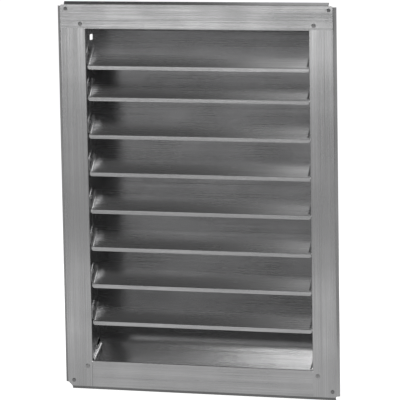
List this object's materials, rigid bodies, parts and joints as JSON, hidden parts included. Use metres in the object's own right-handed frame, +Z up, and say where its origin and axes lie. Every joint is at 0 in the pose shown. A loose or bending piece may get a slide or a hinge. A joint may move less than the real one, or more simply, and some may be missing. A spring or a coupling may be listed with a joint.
{
  "type": "gable vent",
  "caption": "Rectangular louvred gable vent of folded sheet metal with a nailing flange, fixed drip-lipped blades, a sloped sill and an insect screen.",
  "frame": {"origin": "centre of the four nail holes, on the back face of the jamb flanges", "axes": "+X to the right seen from the front, +Y into the wall, +Z up"},
  "size_m": [0.3902, 0.0634, 0.5344],
  "materials": {
    "sheet": "rolled mill finish",
    "rivets": "satin",
    "wire_cloth": "dull wire"
  },
  "bodies": {
    "root": {"head_rail": "sheet", "sill_rail": "sheet", "left_jamb": "sheet", "right_jamb": "sheet", "louver_blade_1": "sheet", "louver_blade_2": "sheet", "louver_blade_3": "sheet", "louver_blade_4": "sheet", "louver_blade_5": "sheet", "louver_blade_6": "sheet", "louver_blade_7": "sheet", "louver_blade_8": "sheet", "corner_rivets": "rivets", "sleeve_rivets": "rivets", "left_blade_rivets": "rivets", "right_blade_rivets": "rivets", "screen_rivets": "rivets", "insect_screen": "wire_cloth"}
  },
  "joints": []
}
